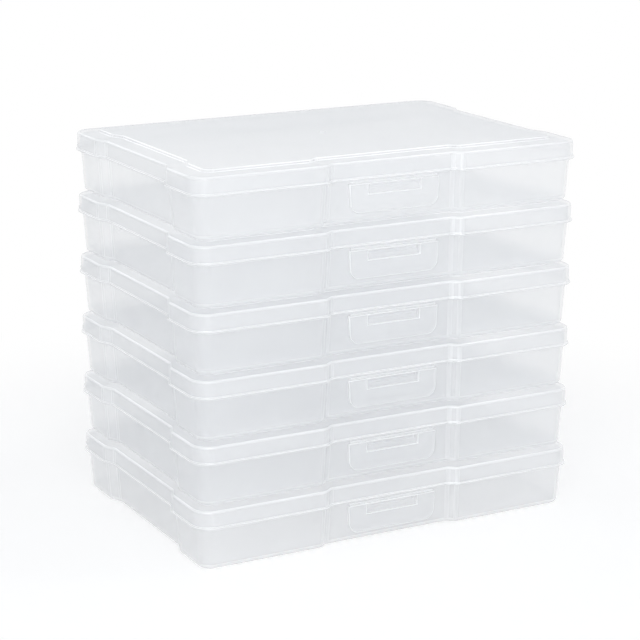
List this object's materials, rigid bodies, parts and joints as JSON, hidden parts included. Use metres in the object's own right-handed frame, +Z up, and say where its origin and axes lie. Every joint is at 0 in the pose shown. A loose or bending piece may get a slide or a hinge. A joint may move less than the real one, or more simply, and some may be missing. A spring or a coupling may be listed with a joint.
{
  "type": "photo storage case stack",
  "caption": "Stack of clear moulded photo cases, each a shallow tray with a lid hinged along its back edge and a windowed snap latch at the front.",
  "frame": {"origin": "centre of the lowest tray's underside, midway between the front and back faces of the lid, hinge left out", "axes": "+X to the right across the front, +Y from the latches to the hinges, +Z up through the stack"},
  "size_m": [0.1692, 0.122, 0.153],
  "materials": {
    "tray_plastic": "milky translucent moulded polypropylene, satin",
    "lid_plastic": "milky translucent moulded polypropylene, satin",
    "latch_plastic": "milky translucent moulded polypropylene, satin",
    "web_plastic": "stress-whitened translucent polypropylene at the folds"
  },
  "bodies": {
    "tray_1": {"case1_tray": "tray_plastic", "case1_hinge_web": "web_plastic"},
    "lid_1": {"case1_lid": "lid_plastic", "case1_latch_web": "web_plastic"},
    "latch_1": {"case1_latch": "latch_plastic"},
    "tray_2": {"case2_tray": "tray_plastic", "case2_hinge_web": "web_plastic"},
    "lid_2": {"case2_lid": "lid_plastic", "case2_latch_web": "web_plastic"},
    "latch_2": {"case2_latch": "latch_plastic"},
    "tray_3": {"case3_tray": "tray_plastic", "case3_hinge_web": "web_plastic"},
    "lid_3": {"case3_lid": "lid_plastic", "case3_latch_web": "web_plastic"},
    "latch_3": {"case3_latch": "latch_plastic"},
    "tray_4": {"case4_tray": "tray_plastic", "case4_hinge_web": "web_plastic"},
    "lid_4": {"case4_lid": "lid_plastic", "case4_latch_web": "web_plastic"},
    "latch_4": {"case4_latch": "latch_plastic"},
    "tray_5": {"case5_tray": "tray_plastic", "case5_hinge_web": "web_plastic"},
    "lid_5": {"case5_lid": "lid_plastic", "case5_latch_web": "web_plastic"},
    "latch_5": {"case5_latch": "latch_plastic"},
    "tray_6": {"case6_tray": "tray_plastic", "case6_hinge_web": "web_plastic"},
    "lid_6": {"case6_lid": "lid_plastic", "case6_latch_web": "web_plastic"},
    "latch_6": {"case6_latch": "latch_plastic"}
  },
  "joints": [
    {"name": "case1_lid_hinge", "type": "hinge", "parent": "tray_1", "child": "lid_1", "pos_m": [0, 0.0624, 0.0168], "axis": [-1, 0, 0], "range_deg": [0, 180]},
    {"name": "case1_latch_hinge", "type": "hinge", "parent": "lid_1", "child": "latch_1", "pos_m": [0, -0.0572, 0.01632], "axis": [-1, 0, 0], "range_deg": [-7, 110]},
    {"name": "case2_lift", "type": "slide", "parent": "lid_1", "child": "tray_2", "axis": [0, 0, 1], "range_m": [0, 0.03]},
    {"name": "case2_lid_hinge", "type": "hinge", "parent": "tray_2", "child": "lid_2", "pos_m": [0, 0.0624, 0.0423], "axis": [-1, 0, 0], "range_deg": [0, 180]},
    {"name": "case2_latch_hinge", "type": "hinge", "parent": "lid_2", "child": "latch_2", "pos_m": [0, -0.0572, 0.04182], "axis": [-1, 0, 0], "range_deg": [-7, 110]},
    {"name": "case3_lift", "type": "slide", "parent": "lid_2", "child": "tray_3", "axis": [0, 0, 1], "range_m": [0, 0.06]},
    {"name": "case3_lid_hinge", "type": "hinge", "parent": "tray_3", "child": "lid_3", "pos_m": [0, 0.0624, 0.0678], "axis": [-1, 0, 0], "range_deg": [0, 180]},
    {"name": "case3_latch_hinge", "type": "hinge", "parent": "lid_3", "child": "latch_3", "pos_m": [0, -0.0572, 0.06732], "axis": [-1, 0, 0], "range_deg": [-7, 110]},
    {"name": "case4_lift", "type": "slide", "parent": "lid_3", "child": "tray_4", "axis": [0, 0, 1], "range_m": [0, 0.09]},
    {"name": "case4_lid_hinge", "type": "hinge", "parent": "tray_4", "child": "lid_4", "pos_m": [0, 0.0624, 0.0933], "axis": [-1, 0, 0], "range_deg": [0, 180]},
    {"name": "case4_latch_hinge", "type": "hinge", "parent": "lid_4", "child": "latch_4", "pos_m": [0, -0.0572, 0.09282], "axis": [-1, 0, 0], "range_deg": [-7, 110]},
    {"name": "case5_lift", "type": "slide", "parent": "lid_4", "child": "tray_5", "axis": [0, 0, 1], "range_m": [0, 0.12]},
    {"name": "case5_lid_hinge", "type": "hinge", "parent": "tray_5", "child": "lid_5", "pos_m": [0, 0.0624, 0.1188], "axis": [-1, 0, 0], "range_deg": [0, 180]},
    {"name": "case5_latch_hinge", "type": "hinge", "parent": "lid_5", "child": "latch_5", "pos_m": [0, -0.0572, 0.11832], "axis": [-1, 0, 0], "range_deg": [-7, 110]},
    {"name": "case6_lift", "type": "slide", "parent": "lid_5", "child": "tray_6", "axis": [0, 0, 1], "range_m": [0, 0.15]},
    {"name": "case6_lid_hinge", "type": "hinge", "parent": "tray_6", "child": "lid_6", "pos_m": [0, 0.0624, 0.1443], "axis": [-1, 0, 0], "range_deg": [0, 180]},
    {"name": "case6_latch_hinge", "type": "hinge", "parent": "lid_6", "child": "latch_6", "pos_m": [0, -0.0572, 0.14382], "axis": [-1, 0, 0], "range_deg": [-7, 110]}
  ]
}
